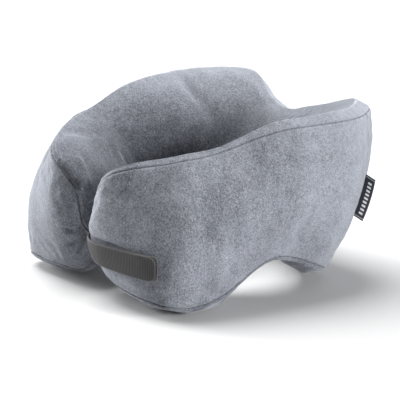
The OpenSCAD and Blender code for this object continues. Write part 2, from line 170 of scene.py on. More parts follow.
def skin_normals(u, t):
    """Outward normals of the surface. Where it closes to a point, at an arm's end, they look sideways."""
    u, t = np.broadcast_arrays(np.asarray(u, float), np.asarray(t, float))
    n = np.cross(skin(u + STEP, t) - skin(u - STEP, t), skin(u, t + STEP) - skin(u, t - STEP))
    size = np.linalg.norm(n, axis=-1, keepdims=True)
    side = np.where(u < NAPE, -1.0, 1.0)
    tip = np.stack([side, 0 * side, 0 * side], -1)
    n = n / np.maximum(size, 1e-12)
    at_end = np.minimum(u, LAST - u)[..., None] < AT_END
    return np.where(at_end, tip, n)


# ------------------------ helpers for meshes

def lengths(points):
    """Running length along a line of points."""
    return np.concatenate([[0], np.cumsum(np.linalg.norm(np.diff(points, axis=0), axis=1))])


TABLE_LEN = 1500  # points along a line whose running length is tabulated


def graded(line, a, b, wide, fine, reach, ends=(True, True)):
    """Values from a to b whose points on line(x) lie wide apart, or fine apart within reach of the ends."""
    x = np.linspace(a, b, TABLE_LEN)
    s = lengths(line(x))
    near = np.minimum(s if ends[0] else s * 0 + 1, (s[-1] - s) if ends[1] else s * 0 + 1)
    gap = wide + (fine - wide) * np.exp(-(near / reach)**2)
    n = np.concatenate([[0], np.cumsum(np.diff(s) / ((gap[1:] + gap[:-1]) / 2))])
    return np.interp(np.linspace(0, n[-1], int(math.ceil(n[-1])) + 1), n, x)


def even(line, a, b, gap):
    """Values from a to b whose points on line(x) lie gap apart."""
    return graded(line, a, b, gap, gap, gap)


def mesh_object(name, points, faces):
    """A smooth mesh object at the origin, its doubled points merged."""
    mesh = bpy.data.meshes.new(name)
    mesh.from_pydata([tuple(p) for p in np.asarray(points).reshape(-1, 3)], [], faces)
    bm = bmesh.new()
    bm.from_mesh(mesh)
    bmesh.ops.remove_doubles(bm, verts=bm.verts, dist=2e-6)
    bmesh.ops.dissolve_degenerate(bm, edges=bm.edges, dist=1e-7)
    bm.to_mesh(mesh)
    bm.free()
    mesh.polygons.foreach_set("use_smooth", [True] * len(mesh.polygons))
    obj = bpy.data.objects.new(name, mesh)
    bpy.context.scene.collection.objects.link(obj)
    return obj


def quads(n, m, closed_m=False, start=0):
    """Faces of an n by m grid of points, whose rows may close."""
    out = []
    for i in range(n - 1):
        here, above = start + i * m, start + (i + 1) * m
        for j in range(m if closed_m else m - 1):
            after = (j + 1) % m
            out.append((here + j, here + after, above + after, above + j))
    return out


def shell(name, outside, inside):
    """A closed sheet between two open grids of the same size."""
    n, m = outside.shape[:2]
    size = n * m
    faces = quads(n, m)
    faces += [tuple(reversed(f)) for f in quads(n, m, start=size)]
    edge = [i * m for i in range(n)] + [(n - 1) * m + j for j in range(1, m)]
    edge += [i * m + m - 1 for i in range(n - 2, -1, -1)] + [j for j in range(m - 2, 0, -1)]
    faces += [(a, b, b + size, a + size) for a, b in zip(edge, edge[1:] + edge[:1])]
    obj = mesh_object(name, np.concatenate([outside.reshape(-1, 3), inside.reshape(-1, 3)]), faces)
    fix_normals(obj)
    return obj


def fix_normals(obj):
    """Turns all the faces of a closed mesh outward."""
    bm = bmesh.new()
    bm.from_mesh(obj.data)
    bmesh.ops.recalc_face_normals(bm, faces=bm.faces)
    bm.to_mesh(obj.data)
    bm.free()


def waves(p, length, seed, count=10):
    """A smooth random field over points, from -1 to 1, whose swells are about length long."""
    rng = np.random.default_rng(seed)
    ways = rng.normal(size=(count, 3))
    ways /= np.linalg.norm(ways, axis=1)[:, None]
    k = 2 * math.pi / (length * rng.uniform(0.75, 1.35, count))
    phase = rng.uniform(0, 2 * math.pi, count)
    return np.sin((p @ ways.T) * k + phase).sum(-1) / math.sqrt(count * 1.6)


def ramp(x, start, length):
    """0 up to start, rising evenly to 1 over length."""
    return np.clip((x - start) / length, 0, 1)


def bell(x, width):
    """1 at 0, falling smoothly to about a third at width."""
    return np.exp(-(x / width)**2)


def wall_line(u):
    """The line along the middle of the outer wall, all round the cushion."""
    return skin(u, 0.5)


def section_line(t, d=0.0):
    """The line round the section at the fourth ring, half way along the right arm."""
    return skin(4.0 + 0 * t, t, d)


# ------------------------ the cover's cloth, blown up over the foam

SIM_FRAMES = 20
SIM_GAP = 0.006  # how far apart the simulated cloth's points lie
SIM_END = 0.06  # how far from the arms' ends it starts and stops, in rings
ON_FLOOR = 0.002  # points lower than this lie on the floor
CROWN = 0.0012  # how far the cloth swells on average, taken off the result
CAP = 0.0042  # the most it may swell
SINK = -0.0009  # the least, where it sinks into the foam
T_END = 2 - 1e-9  # just short of 2, which is the same place as 0


def cloth_swell():
    """Simulates the cover, sewn down along its seams and blown up, and returns how far each place swells."""
    u = np.concatenate([
        even(wall_line, SIM_END, CORNER, SIM_GAP),
        even(wall_line, CORNER, LEFT_CORNER, SIM_GAP)[1:],
        even(wall_line, LEFT_CORNER, LAST - SIM_END, SIM_GAP)[1:]])
    t = np.concatenate([even(section_line, a, b, SIM_GAP)[:-1] for a, b in ((0, 1), (1, T_END))])
    n, m = len(u), len(t)
    uu, tt = np.meshgrid(u, t, indexing="ij")
    points = skin(uu, tt)
    faces = quads(n, m, closed_m=True)
    faces += [tuple(range(m)), tuple((n - 1) * m + j for j in reversed(range(m)))]
    mesh = bpy.data.meshes.new("sim")
    mesh.from_pydata([tuple(p) for p in points.reshape(-1, 3)], [], faces)
    obj = bpy.data.objects.new("sim", mesh)
    bpy.context.scene.collection.objects.link(obj)
    fix_normals(obj)
    group = obj.vertex_groups.new(name="sewn")
    sewn = (tt == 0) | (np.abs(tt - 1) < 1e-6)
    sewn |= ((np.abs(uu - CORNER) < 1e-6) | (np.abs(uu - LEFT_CORNER) < 1e-6)) & (tt < 1)
    sewn |= (uu == u[0]) | (uu == u[-1])
    for held, weight in ((sewn, 1.0), ((points[..., 2] < ON_FLOOR) & ~sewn, 0.9)):
        group.add(np.flatnonzero(held).tolist(), weight, "REPLACE")
    cloth = obj.modifiers.new("cloth", "CLOTH")
    for key, value in dict(quality=6, mass=0.25, tension_stiffness=18, compression_stiffness=14,
                           shear_stiffness=6, bending_stiffness=0.6, shrink_min=-0.035, use_pressure=True,
                           uniform_pressure_force=4, vertex_group_mass="sewn").items():
        setattr(cloth.settings, key, value)
    cloth.settings.effector_weights.gravity = 0
    cloth.collision_settings.use_self_collision = False
    cloth.collision_settings.use_collision = False
    cloth.point_cache.frame_start, cloth.point_cache.frame_end = 1, SIM_FRAMES
    scene = bpy.context.scene
    for f in range(1, SIM_FRAMES + 1):
        scene.frame_set(f)
    evaluated = obj.evaluated_get(bpy.context.evaluated_depsgraph_get())
    co = np.empty(n * m * 3, np.float32)
    evaluated.data.vertices.foreach_get("co", co)
    scene.frame_set(1)
    bpy.data.objects.remove(obj)
    swell = ((co.reshape(n, m, 3) - points) * skin_normals(uu, tt)).sum(-1)
    swell = np.where(np.isfinite(swell), swell, 0)
    return u, t, np.clip(swell, SINK, CAP)


SIM = cloth_swell()


def swell_at(u, t):
    """The simulated swell at any place, smoothly between the simulated points."""
    if SIM is None:
        return 0 * u
    us, ts, field = SIM
    n, m = field.shape
    x = np.clip(np.interp(u, us, np.arange(n)), 0, n - 1.001)
    y = np.interp(t % 2, np.append(ts, 2), np.arange(m + 1))
    i, j = np.floor(x).astype(int), np.floor(y).astype(int)

    def across(row):
        row = np.clip(row, 0, n - 1)
        return spline(*[field[row, (j + k) % m] for k in (-1, 0, 1, 2)], y - j)

    return spline(across(i - 1), across(i), across(i + 1), across(i + 2), x - i)


# ------------------------ relief: seams, puckers, folds

SEAM_DEEP, SEAM_WIDE = 0.0012, 0.0008
LIP_HIGH, LIP_OFF, LIP_WIDE = 0.00055, 0.0030, 0.0024
STITCH = 0.0032  # pitch of the stitches
PUCKER_HIGH, PUCKER_REACH = 0.00022, 0.006
SWELL = 0.6  # how much of the simulated swell the firm foam lets show
SOFT_REACH = 0.016  # how far from a seam the cloth swells fully
PRESSED_DEEP = 0.0004  # how far the strap presses the cover in
HOLLOW_DEEP = 0.0038  # how deep the hollow along its upper edge is
UNEVEN = ((0.0006, 0.055, 4), (0.00025, 0.02, 9))  # height, length and seed of its slight waves


def metric(u, t, side):
    """Metres per unit of t, on the given side of a seam."""
    h = STEP * side
    return np.linalg.norm(skin(u, t + h) - skin(u, t), axis=-1) / abs(h)


def seam_offs(u, t):
    """Distances in metres from each seam of the cover, as (top, bottom, corner)."""
    outer = t <= 1
    scale = np.where(outer, metric(u, np.clip(t, 0.002, 0.99), 1), metric(u, np.clip(t, 1.002, 1.99), 1))
    top = np.abs(t - 1) * scale
    bottom = np.where(outer, t, 2 - t) * scale
    near = np.where(u < NAPE, CORNER, LEFT_CORNER)
    along = np.linalg.norm(skin(u + STEP, t) - skin(u, t), axis=-1) / STEP
    corner = np.where(outer, np.abs(u - near) * along, 1.0)
    return top, bottom, corner


def seam_relief(off, run, strength=1.0):
    """A sewn seam: a groove between two soft lips, gathered into small puckers along its run."""
    gather = 0.5 + 0.5 * np.sin(2 * math.pi * run / STITCH)
    groove = -SEAM_DEEP * bell(off, SEAM_WIDE) * (0.75 + 0.35 * gather)
    lips = LIP_HIGH * bell(off - LIP_OFF, LIP_WIDE)
    pucker = PUCKER_HIGH * np.sin(2 * math.pi * run / (2.6 * STITCH) + 3 * np.sin(run / 0.021))
    return strength * (groove + lips + pucker * np.exp(-off / PUCKER_REACH))


def fold(p, start, end, height, width):
    """A soft ridge from one place (u, t) to another, fading at its ends, or a crease if height is below 0."""
    a, b = [skin(*place) for place in (start, end)]
    way = b - a
    f = ((p - a) @ way) / (way @ way)
    off = np.linalg.norm(p - (a + np.clip(f, 0, 1)[..., None] * way), axis=-1)
    fade = np.clip(1.15 - np.abs(2 * f - 1)**3, 0, 1)
    return height * MM * bell(off, width * MM) * fade


SHADED = -2  # creases deeper than this, in millimetres, also get painted shade
# Ridges and creases as (from, to, height, width), with places as (u, t) and sizes in millimetres
FOLDS = [
    # the left arm's end: a ridge down to the strap's root, a hollow beside the seam, and gathers
    ((15.05, 1.30), (15.70, 1.29), 3.6, 3.4),
    ((15.20, 1.16), (15.74, 1.12), -3.4, 5.0),
    ((14.45, 1.20), (14.22, 1.33), -0.9, 4),
    ((15.97, 0.30), (15.50, 0.16), -3.6, 2.6),
    ((15.97, 0.42), (15.55, 0.38), -2.8, 2.6),
    ((15.96, 0.20), (15.62, 0.03), -3.0, 2.2),
    ((15.97, 0.36), (15.58, 0.27), 1.6, 2.2),
    ((15.80, 0.62), (15.45, 0.60), -0.9, 4),
    # the inner wall
    ((10.20, 1.32), (10.75, 1.40), 1.5, 5),
    ((10.75, 1.40), (10.95, 1.52), 1.3, 4.5),
    ((10.55, 1.37), (11.10, 1.46), -1.2, 5),
    ((12.75, 1.33), (12.85, 1.50), 1.3, 4.5),
    ((13.10, 1.33), (13.15, 1.50), -1.0, 5),
    ((9.30, 1.34), (9.10, 1.50), 1.0, 6),
    ((6.40, 1.34), (6.90, 1.50), -1.0, 6),
    ((3.20, 1.33), (3.10, 1.50), 1.1, 6),
    # the right rear corner
    ((4.95, 0.86), (4.60, 0.60), -0.9, 6),
    ((5.10, 0.60), (4.90, 0.30), 0.9, 7)]


def relief(u, t, p):
    """How far the cover stands off the plain surface, in metres."""
    top, bottom, corner = seam_offs(u, t)
    run_u = np.interp(u, U_RUN[0], U_RUN[1])
    away = np.clip(np.minimum(np.minimum(top, bottom), corner) / SOFT_REACH, 0, 1)
    out = SWELL * (swell_at(u, t) - CROWN) * away**2 * (3 - 2 * away)
    out = out + seam_relief(top, run_u) + seam_relief(bottom, run_u, 0.8)
    out = out + seam_relief(corner, p[..., 2], 0.7)
    for height, length, seed in UNEVEN:
        out = out + height * waves(p, length, seed)
    for a, b, height, width in FOLDS:
        out = out + fold(p, a, b, height, width)
    pressed = under_strap(u, t, p)
    return out * (1 - pressed) - PRESSED_DEEP * pressed - HOLLOW_DEEP * over_strap(u, t, p)


def under_strap(u, t, p):
    """1 where the strap and its loop patch press on the right arm, fading to 0 round them."""
    beyond = np.abs(p[..., 2] - STRAP_Z * MM) - (STRAP_W / 2 + 1.5) * MM
    past = (u - STRAP_TIP - 0.12) * FIRST_LEN * MM
    out = np.maximum(np.maximum(beyond, past), 0)
    return np.where(t <= 1, bell(out, 0.005), 0)


def over_strap(u, t, p):
    """1 in the hollow along the strap's upper edge, fading to 0 round it."""
    above = p[..., 2] - (STRAP_Z + STRAP_W / 2 + 0.9) * MM
    return bell(above, 0.0018) * ramp(np.minimum(1.45 - u, u - 0.15), 0, 0.4) * (t <= 1)


U_TABLE = np.linspace(0, LAST, 3000)
U_RUN = (U_TABLE, lengths(skin(U_TABLE, 1.0 + 0 * U_TABLE)))  # u, and the top seam's length up to it
ARMS_APART = 0.00015  # half of the gap that stays between the arms' ends
FRONT_U = 1.2  # how far from its end an arm is kept on its own side, in rings
DEEPEST = 0.0042  # the deepest fold
# How far the seams stray, as shares of the outer wall's height
TOP_DROP, BASE_TUCK, BASE_LIFT = 0.85, 0.09, 0.03


def drifted(u, t):
    """Where t lies on the plain surface. The seams sit lower on the left arm's end than on the right's,
    and the bottom one runs a little up the arms' outer walls."""
    drop = TOP_DROP * ramp(u, 15.6, 0.4)**3
    from_end = np.minimum(u, LAST - u)
    lift = BASE_LIFT * ramp(CORNER - from_end, 0, 0.6) * ramp(from_end, 0.9, 0.8)
    tuck = BASE_TUCK * ramp(u, 14.2, 0.9)**2 - lift
    return np.where(t <= 1, -tuck + t * (1 - drop + tuck), 1 - drop + (t - 1) * (1 + drop - tuck))


def twist(u, z):
    """How much higher the cushion stands there than its mirror image: it's sewn a little unevenly."""
    rise = 0.0030 * bell(u - 10.4, 1.25) - 0.0022 * bell(u - 5.6, 0.55)
    return rise * ramp(z, 0.085, 0.06)


def cover(u, t):
    """The finished cover's face at places u, t."""
    u, t = np.broadcast_arrays(np.asarray(u, float), np.asarray(t, float))
    at = drifted(u, t)
    p = skin(u, at)
    n = skin_normals(u, at)
    stand = np.maximum(relief(u, t, p), -DEEPEST)
    p = p + n * stand[..., None]
    p[..., 2] += twist(u, p[..., 2])
    p[..., 2] = np.maximum(p[..., 2], 0)
    side = np.where(u < NAPE, 1.0, -1.0)
    in_front = np.minimum(u, LAST - u) < FRONT_U
    p[..., 0] = np.where(in_front, side * np.maximum(side * p[..., 0], ARMS_APART), p[..., 0])
    return p


# ------------------------ materials

def srgb(*levels):
    """A colour from 0 to 255 levels."""
    return tuple((c / 255 / 12.92) if c <= 10 else ((c / 255 + 0.055) / 1.055)**2.4 for c in levels) + (1.0,)


class Finish:
    """A material with its Principled shader, and short ways to add nodes to it."""

    def __init__(self, name, **sockets):
        self.material = bpy.data.materials.new(name)
        self.material.use_nodes = True
        self.tree = self.material.node_tree
        self.shader = self.tree.nodes["Principled BSDF"]
        for socket, value in sockets.items():
            self.shader.inputs[socket.replace("_", " ")].default_value = value
        self.place = self.node("ShaderNodeTexCoord").outputs["Object"]

    def node(self, kind, links=None, **values):
        """A node with these settings, whose sockets are given values or are linked to other sockets."""
        made = self.tree.nodes.new(kind)
        for key, value in values.items():
            setattr(made, key, value)
        for socket, value in (links or {}).items():
            self.set(made.inputs[socket], value)
        return made

    def set(self, socket, value):
        if isinstance(value, bpy.types.NodeSocket):
            self.tree.links.new(value, socket)
        else:
            socket.default_value = value

    def noise(self, size, detail=2.0, rough=0.55, stretch=None):
        """Noise whose grains are about size metres, or that size along each axis of stretch."""
        place = self.place
        if stretch:
            place = self.node("ShaderNodeMapping", {0: place, 3: stretch}).outputs[0]
        made = self.node("ShaderNodeTexNoise", {"Vector": place, "Scale": 1 / size, "Detail": detail,
                                                "Roughness": rough})
        return made.outputs["Fac"]

    def attribute(self, name):
        """A value that the mesh stores for each of its points."""
        return self.node("ShaderNodeAttribute", attribute_name=name).outputs["Fac"]

    def axes(self, vector):
        """The three parts of a vector."""
        return self.node("ShaderNodeSeparateXYZ", {0: vector}).outputs

    def math(self, operation, a, b=0.0, clamp=False):
        made = self.node("ShaderNodeMath", {0: a, 1: b}, operation=operation, use_clamp=clamp)
        return made.outputs[0]

    def ranged(self, value, a, b, c, d):
        """A value moved from the range a to b into the range c to d, and kept within it."""
        return self.node("ShaderNodeMapRange", {0: value, 1: a, 2: b, 3: c, 4: d}).outputs[0]

    def spread(self, noise, low, high):
        """Noise, which mostly lies between 0.3 and 0.7, spread from low to high."""
        return self.ranged(noise, 0.3, 0.7, low, high)

    def mix(self, factor, a, b):
        """A colour between a and b."""
        return self.node("ShaderNodeMix", {0: factor, 6: a, 7: b}, data_type="RGBA").outputs[2]

    def bump(self, height, distance, strength=1.0, under=None):
        links = {"Height": height, "Distance": distance, "Strength": strength}
        if under is not None:
            links["Normal"] = under
        return self.node("ShaderNodeBump", links).outputs[0]

    def use(self, color, rough, normal=None):
        """Joins these to the shader, and returns the finished material."""
        self.set(self.shader.inputs["Base Color"], color)
        self.set(self.shader.inputs["Roughness"], rough)
        if normal is not None:
            self.set(self.shader.inputs["Normal"], normal)
        return self.material


def velour():
    """Short grey velour: speckled pile, brushed lighter and darker, and dark in its seam lines, with painted
    shade in its deepest creases and on the neck side, and painted light towards the rear and over the crest.
    """
    f = Finish("velour", Sheen_Weight=0.9, Sheen_Roughness=0.34, Sheen_Tint=srgb(214, 218, 228),
               Specular_IOR_Level=0.2)
    pile = f.noise(0.0012, 4.0, 0.8)
    tufts = f.noise(0.0034, 2.0, 0.6)
    brushed = f.noise(0.016, 3.0, 0.6)
    nap = f.noise(0.055, 2.0, 0.5, (1, 1, 0.55))
    tone = f.math("ADD", f.spread(pile, -0.62, 0.62), f.spread(tufts, -0.12, 0.12))
    tone = f.math("ADD", tone, f.spread(brushed, -0.13, 0.13))
    tone = f.math("ADD", tone, f.spread(nap, -0.16, 0.16))
    axes = f.axes(f.place)
    # painted light: lighter towards the rear, and a painted highlight over the crest, where the light falls
    rear = f.ranged(axes["Y"], -0.01, 0.08, 0.0, 0.3)
    upper = f.ranged(axes["Z"], 0.12, 0.156, 0.0, 0.2)
    tone = f.math("ADD", tone, f.math("ADD", rear, upper))
    # painted shade on the neck side
    tone = f.math("SUBTRACT", tone, f.math("MULTIPLY", f.attribute("inside"), 0.26))
    lit = f.mix(f.math("ADD", tone, 0.44, clamp=True), srgb(74, 77, 84), srgb(145, 149, 157))
    # dark in the seam lines, and painted shade in the deepest creases
    color = f.mix(f.attribute("seam"), lit, srgb(58, 59, 66))
    rough = f.spread(brushed, 0.82, 0.97)
    soft = f.bump(tufts, 0.0007, 0.45)
    return f.use(color, rough, f.bump(pile, 0.0006, 0.8, soft))


def foam_finish():
    """Open cell foam."""
    f = Finish("foam", Specular_IOR_Level=0.2)
    cells = f.node("ShaderNodeTexVoronoi", {"Vector": f.place, "Scale": 900.0}).outputs["Distance"]
    tint = f.mix(f.spread(f.noise(0.03), 0.0, 1.0), srgb(236, 228, 200), srgb(246, 240, 220))
    pore = f.ranged(cells, 0.0, 0.5, 1.0, 0.0)
    return f.use(f.mix(pore, tint, srgb(206, 194, 160)), f.ranged(cells, 0, 1, 0.8, 0.95),
                 f.bump(cells, 0.0005, 0.8))


def ribbed(name, light, dark, pitch, axis, fuzz=0.0):
    """Woven or knitted ribs across one axis of the row frame, with a fine thread grain."""
    f = Finish(name, Specular_IOR_Level=0.3, Sheen_Weight=0.15 + fuzz, Sheen_Roughness=0.5)
    turn = f.math("MULTIPLY", f.axes(f.place)[axis], 2 * math.pi / pitch)
    rib = f.ranged(f.math("SINE", turn), -1.0, 1.0, 0.0, 1.0)
    grain = f.noise(pitch * 0.5, 3.0, 0.7)
    tone = f.math("ADD", f.math("MULTIPLY", rib, 0.45), f.math("MULTIPLY", grain, 0.55), clamp=True)
    ground = f.bump(rib, 0.0003, 0.5)
    color = f.mix(tone, dark, light)
    return f.use(color, f.spread(grain, 0.75, 0.95), f.bump(grain, 0.0003, 0.7, ground))


def webbing():
    """Dark warm grey grosgrain webbing: the ribs are modelled, the threads are here."""
    f = Finish("webbing", Specular_IOR_Level=0.3, Sheen_Weight=0.2, Sheen_Roughness=0.5)
    threads = f.noise(0.0005, 2.0, 0.6, (1, 1, 0.3))
    cloud = f.noise(0.012, 2.0, 0.5)
    rib = f.math("MULTIPLY", f.attribute("rib"), 0.5)
    tone = f.math("ADD", rib, f.math("MULTIPLY", threads, 0.5), clamp=True)
    base = f.mix(tone, srgb(24, 24, 26), srgb(74, 73, 74))
    worn = f.mix(f.ranged(cloud, 0.4, 0.7, 0.0, 0.3), base, srgb(70, 69, 70))
    return f.use(worn, f.spread(threads, 0.72, 0.92), f.bump(threads, 0.0002, 0.7))


def fuzzy(name, dark, light, size):
    """Hook tape or brushed loop tape: a dense dark field of small tangled loops."""
    f = Finish(name, Specular_IOR_Level=0.25, Sheen_Weight=0.3, Sheen_Roughness=0.6)
    loops = f.node("ShaderNodeTexVoronoi", {"Vector": f.place, "Scale": 1 / size}).outputs["Distance"]
    hair = f.noise(size * 0.8, 4.0, 0.75)
    tone = f.math("ADD", f.math("MULTIPLY", loops, 0.7), f.math("MULTIPLY", hair, 0.5), clamp=True)
    under = f.bump(loops, size * 0.6, 0.9)
    color = f.mix(tone, dark, light)
    return f.use(color, f.spread(hair, 0.75, 0.97), f.bump(hair, size * 0.5, 0.8, under))


def satin_nickel():
    """Brushed nickel with faint scratches and smudges."""
    f = Finish("satin_nickel", Metallic=1.0)
    scratch = f.noise(0.0012, 3.0, 0.6, (0.15, 1, 1))
    smudge = f.noise(0.006, 2.0, 0.5)
    color = f.mix(f.ranged(smudge, 0.35, 0.65, 0.0, 1.0), srgb(172, 173, 176), srgb(198, 199, 201))
    rough = f.math("ADD", f.spread(scratch, 0.22, 0.36), f.spread(smudge, -0.03, 0.05))
    return f.use(color, rough, f.bump(scratch, 0.00006, 0.4))


def nylon():
    """Dark moulded nylon of the zip's coils."""
    f = Finish("nylon_coil", Specular_IOR_Level=0.5)
    mottle = f.noise(0.002, 2.0, 0.5)
    return f.use(f.mix(mottle, srgb(62, 63, 67), srgb(92, 93, 98)), f.spread(mottle, 0.34, 0.5),
                 f.bump(f.noise(0.0005), 0.00004, 0.5))


THREAD = 0.0006  # pitch of the label's threads
BAR_PITCH = 0.0034  # pitch of its bars


def label_satin():
    """Dark woven satin with a plain border and a row of plain woven bars, in the label's own coordinates."""
    f = Finish("label_satin", Specular_IOR_Level=0.45, Sheen_Weight=0.2, Sheen_Roughness=0.35)
    axes = f.axes(f.node("ShaderNodeUVMap", uv_map="woven").outputs[0])
    along, across = axes["X"], axes["Y"]
    threads = f.math("SINE", f.math("MULTIPLY", along, 2 * math.pi / THREAD))
    grain = f.noise(THREAD, 2.0, 0.6)
    ground = f.mix(grain, srgb(30, 31, 40), srgb(52, 54, 66))

    def band(value, low, high):
        return f.math("MULTIPLY", f.math("GREATER_THAN", value, low), f.math("LESS_THAN", value, high))

    phase = f.math("FRACT", f.math("DIVIDE", along, BAR_PITCH))
    bars = f.math("MULTIPLY", band(phase, 0.22, 0.74), band(across, 0.0036, 0.0068))
    bars = f.math("MULTIPLY", bars, band(along, BAR_PITCH, 0.0345))
    edge = f.math("ADD", band(along, 0.0012, 0.0018), band(along, 0.0362, 0.0368), clamp=True)
    marks = f.math("MAXIMUM", bars, f.math("MULTIPLY", edge, 0.6))
    color = f.mix(marks, ground, srgb(222, 223, 226))
    height = f.math("ADD", f.math("MULTIPLY", threads, 0.3), marks)
    return f.use(color, f.spread(grain, 0.42, 0.6), f.bump(height, 0.00015, 0.6))


def floor_finish():
    """Pale matt paper."""
    f = Finish("floor", Specular_IOR_Level=0.2)
    grain = f.noise(0.4, 2.0, 0.5)
    color = f.mix(grain, (0.60, 0.60, 0.605, 1), (0.64, 0.64, 0.64, 1))
    return f.use(color, f.spread(grain, 0.7, 0.85))


VELOUR = velour()
FOAM = foam_finish()
LINER = ribbed("knit_liner", srgb(232, 232, 228), srgb(196, 196, 192), 0.0016, 0, 0.1)
TAPE = ribbed("zip_tape", srgb(104, 105, 110), srgb(66, 67, 72), 0.0009, 0)
WEBBING = webbing()
HOOKS = fuzzy("hook_tape", srgb(26, 26, 27), srgb(74, 74, 74), 0.0011)
LOOPS = fuzzy("loop_tape", srgb(38, 38, 40), srgb(98, 98, 100), 0.0007)
METAL = satin_nickel()
NYLON = nylon()
LABEL = label_satin()


def dress(obj, material):
    """Gives a piece its material."""
    obj.data.materials.clear()
    obj.data.materials.append(material)


# ------------------------ cushion: foam, liner and cover

WIDE, FINE, REACH = 0.002, 0.0006, 0.005  # the cover's points lie wide apart, and fine near a seam
ARM_END_STEPS = 24
INNER_GAP = 0.006  # between neighbouring points of the foam, or of the liner
INNER_END_STEPS = 8
FOLD_ROOM = 3.4  # how much deeper both lie, in millimetres, under the cover's folds


def u_places():
    """Rows round the whole cushion, close together over the arms' ends and at the corner seams."""
    s = np.linspace(0, math.pi / 2, ARM_END_STEPS + 1)
    end = (1 - np.cos(s)) * END_ROUND / FIRST_LEN
    arm = graded(wall_line, end[-1], CORNER, WIDE, FINE, REACH, (False, True))
    half_nape = graded(wall_line, CORNER, NAPE, WIDE, FINE, REACH, (True, True))
    half = np.concatenate([end, arm[1:], half_nape[1:]])
    return np.concatenate([half, LAST - half[-2::-1]])


def t_places(a, b, ends):
    """Points round the section from a to b, close together at those of its ends that are seams."""
    return graded(section_line, a, b, WIDE, FINE, REACH, ends)


U = u_places()
RIGHT, LEFT = U[U <= NAPE], U[U >= NAPE]
OUTER_T = t_places(0, 1, (True, True))
INNER_T = t_places(1, BASE_SEAM, (True, False))
BASE_T = t_places(BASE_SEAM, T_END, (False, True))

NEAR = 1e-9  # a difference in u that counts as none


def bend(obj):
    """Moves the piece's transform into its mesh."""
    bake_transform(obj)


def seam_line_and_crease_shade(u, t):
    """How dark the cover is in its sewn lines, with painted shade in its deepest creases, from 0 to 1."""
    top, bottom, corner = seam_offs(u, t)
    run = np.interp(u, U_RUN[0], U_RUN[1])
    stitch = 0.72 + 0.28 * np.sin(2 * math.pi * run / STITCH)
    dark = 0.75 * stitch * np.maximum(bell(top, 0.00055), bell(bottom, 0.0006))
    dark = np.maximum(dark, 0.6 * bell(corner, 0.0006))
    p = skin(u, drifted(u, t))
    # painted shade in the creases deeper than SHADED
    for a, b, height, width in FOLDS:
        if height < SHADED:
            dark = np.maximum(dark, 0.7 * fold(p, a, b, height, width) / (height * MM))
    return dark


def inside(u, t):
    """1 on the neck side, where shade is painted into the pile, fading to the crest and the arms' ends."""
    return ramp(t, 1.2, 0.16) * ramp(np.minimum(u, LAST - u), 1.5, 1.2)


def store(obj, name, points, values):
    """Stores a value for each of the object's points. It has fewer than points if doubles were merged."""
    points, values = points.reshape(-1, 3), values.ravel()
    tree = KDTree(len(points))
    for i, p in enumerate(points):
        tree.insert(p, i)
    tree.balance()
    found = [values[tree.find(v.co)[1]] for v in obj.data.vertices]
    obj.data.attributes.new(name, "FLOAT", "POINT").data.foreach_set("value", np.array(found, np.float32))


def face_out(obj, uu, tt):
    """Turns the faces so that they look out of the cushion."""
    i, j = uu.shape[0] // 2, uu.shape[1] // 2
    here = Vector(cover(uu[i, j], tt[i, j]))
    out = Vector(skin_normals(uu[i, j], tt[i, j]))
    near = min(obj.data.polygons, key=lambda f: (f.center - here).length)
    if near.normal.dot(out) < 0:
        obj.data.flip_normals()


def thicken(obj, thickness):
    """Gives a sheet its thickness, in millimetres, on its inner side."""
    sheet = obj.modifiers.new("thickness", "SOLIDIFY")
    sheet.thickness = thickness * MM
    sheet.offset = -1


def panel(name, u, t, node_names):
    """A panel of the cover over the grid of places u by t."""
    uu, tt = np.meshgrid(u, t, indexing="ij")
    points = cover(uu, tt)
    obj = mesh_object(name, points, quads(*uu.shape))
    # dark seam lines, with painted shade in the deepest creases
    store(obj, "seam", points, seam_line_and_crease_shade(uu, tt))
    # painted shade on the neck side
    store(obj, "inside", points, inside(uu, tt))
    thicken(obj, COVER_T - 0.3)
    face_out(obj, uu, tt)
    dress(obj, VELOUR)
    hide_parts(*node_names)
    return obj


def bar(name, side, d):
    """A closed solid of half the cushion at depth d, with a flat end at the nape's middle."""
    def line(t):
        return section_line(t, d)

    t = np.concatenate([even(line, a, b, INNER_GAP)[:-1] for a, b in ((0, 1), (1, T_END))])
    uu, tt = np.meshgrid(bar_rows(side, d), t, indexing="ij")
    n, m = uu.shape
    faces = quads(n, m, closed_m=True)
    middle = n - 1 if side > 0 else 0
    faces.append(tuple(middle * m + j for j in range(m)))
    obj = mesh_object(name, skin(uu, tt, d), faces)
    fix_normals(obj)
    return obj


def bar_rows(side, d):
    """Rows of the foam or the liner on one side, at depth d."""
    s = np.linspace(0, math.pi / 2, INNER_END_STEPS + 1)
    end = d / FIRST_LEN + (1 - np.cos(s)) * (END_ROUND - d) / FIRST_LEN
    half = np.append(end, even(wall_line, end[-1], NAPE, INNER_GAP)[1:])
    return half if side > 0 else LAST - half[::-1]


def cushion_half(side, name, u):
    """The foam, liner and cover on one side. The back panels come after."""
    arm_u = u[u <= CORNER + NEAR] if side > 0 else u[u >= LEFT_CORNER - NEAR]
    core = bar("foam_core_" + name, side, FOAM_D + FOLD_ROOM)
    dress(core, FOAM)
    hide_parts("foam_arm_" + name, "foam_nape")
    lining = bar("knit_liner_" + name, side, LINER_D + FOLD_ROOM)
    thicken(lining, LINER_T)
    dress(lining, LINER)
    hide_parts("liner_arm_" + name, "liner_nape")
    panels = [
        panel("velour_side_" + name, arm_u, OUTER_T, ["cover_side_" + name]),
        panel("velour_inner_" + name, u, INNER_T, ["cover_inner_" + name, "cover_inner_nape"]),
        panel("velour_base_" + name, u, BASE_T, ["cover_base_" + name, "cover_base_nape"])]
    for piece in [core, lining, *panels]:
        bend(piece)


cushion_half(1, "right", RIGHT)
cushion_half(-1, "left", LEFT)

# ------------------------ back panels and zip

